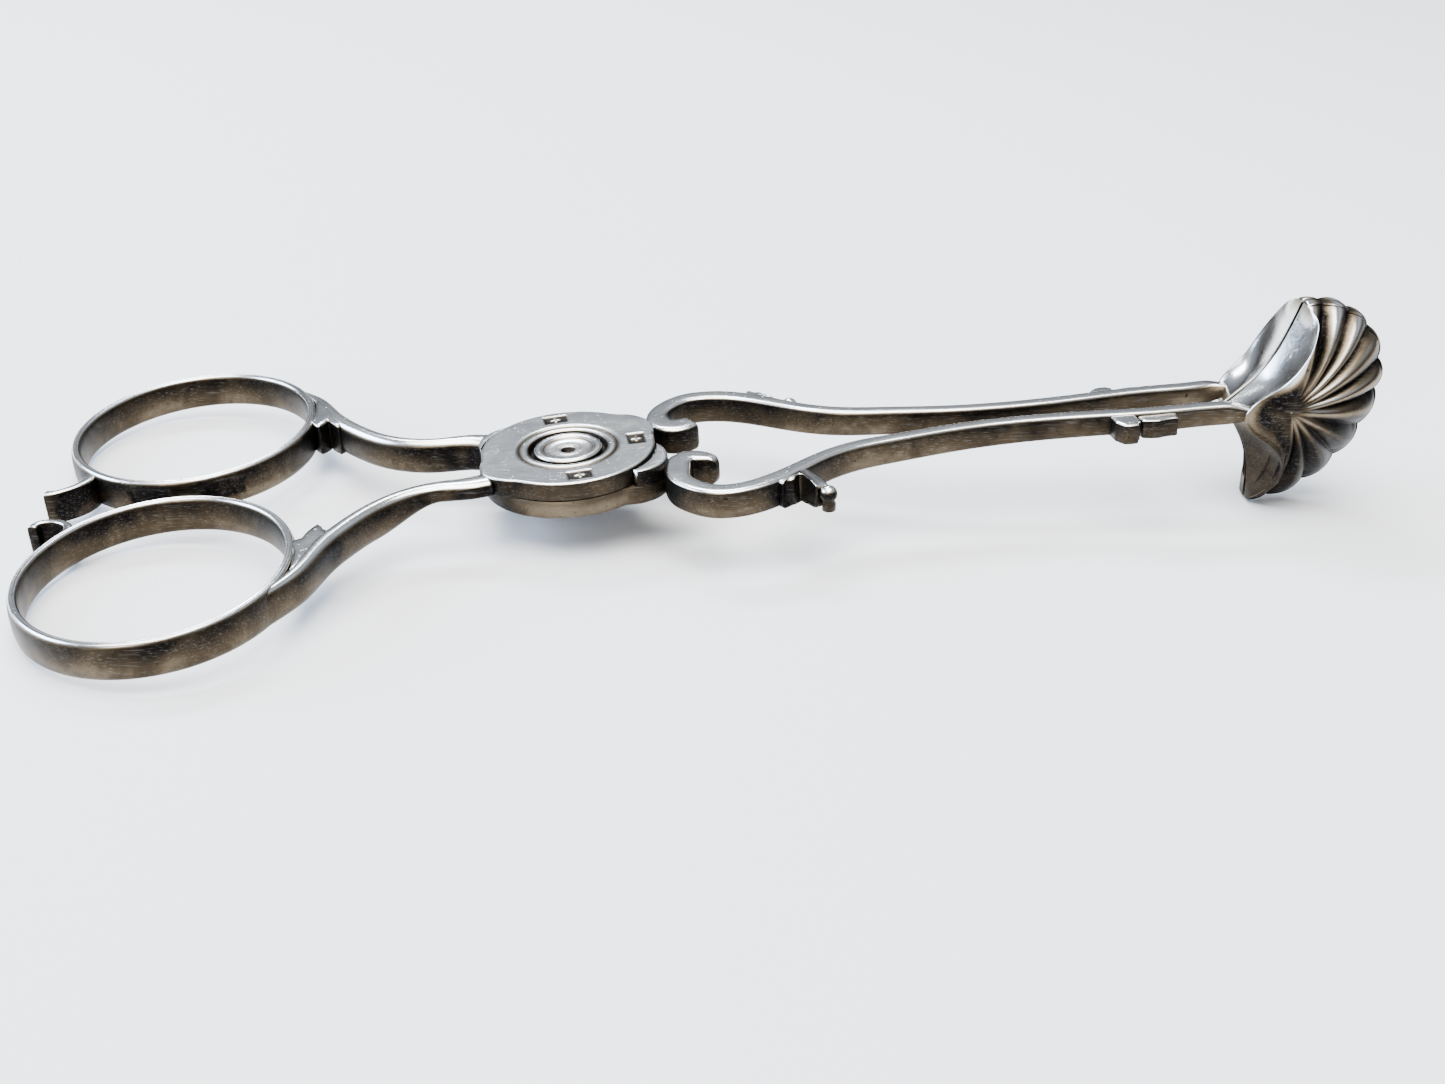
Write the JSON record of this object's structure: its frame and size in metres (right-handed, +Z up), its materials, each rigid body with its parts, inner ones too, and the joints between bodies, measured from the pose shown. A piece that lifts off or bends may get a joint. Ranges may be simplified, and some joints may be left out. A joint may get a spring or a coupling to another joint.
{
  "type": "sugar nips",
  "caption": "Scissor-action silver sugar nips: two crossed arms on one rivet, finger loops, C scrolls and fluted shell grips.",
  "frame": {"origin": "centre of the footprint on the table: middle of the bounding box, at its bottom", "axes": "+X from the finger loops to the shells, +Y across the nips to the side of the lower arm's loop, +Z up; the joint plane rises 4.8 degrees towards +X"},
  "size_m": [0.123, 0.0542, 0.0207],
  "materials": {
    "polished_silver": "old polished sterling silver, soft scratches, dark tarnish in the recesses",
    "joint_silver": "flat-filed silver with turned rings, finely scratched",
    "shell_silver": "cast and chased silver, bright ribs and dark grooves"
  },
  "bodies": {
    "lower_arm": {"lower_bow": "polished_silver", "lower_heel_scroll": "polished_silver", "lower_shank": "polished_silver", "lower_crotch_leaf": "polished_silver", "lower_lap": "joint_silver", "lower_scroll": "polished_silver", "lower_bar": "polished_silver", "lower_leaf_spur": "polished_silver", "lower_bud": "polished_silver", "lower_shell": "shell_silver", "pivot_rivet": "joint_silver", "rivet_burr": "joint_silver"},
    "upper_arm": {"upper_bow": "polished_silver", "upper_heel_scroll": "polished_silver", "upper_shank": "polished_silver", "upper_crotch_leaf": "polished_silver", "upper_lap": "joint_silver", "upper_scroll": "polished_silver", "upper_bar": "polished_silver", "upper_leaf_spur": "polished_silver", "upper_bud": "polished_silver", "upper_shell": "shell_silver"}
  },
  "joints": [
    {"name": "pivot", "type": "hinge", "parent": "lower_arm", "child": "upper_arm", "pos_m": [-0.01494, 0, 0.00583], "axis": [-0.0833, 0, 0.9965], "range_deg": [0, 60]}
  ]
}
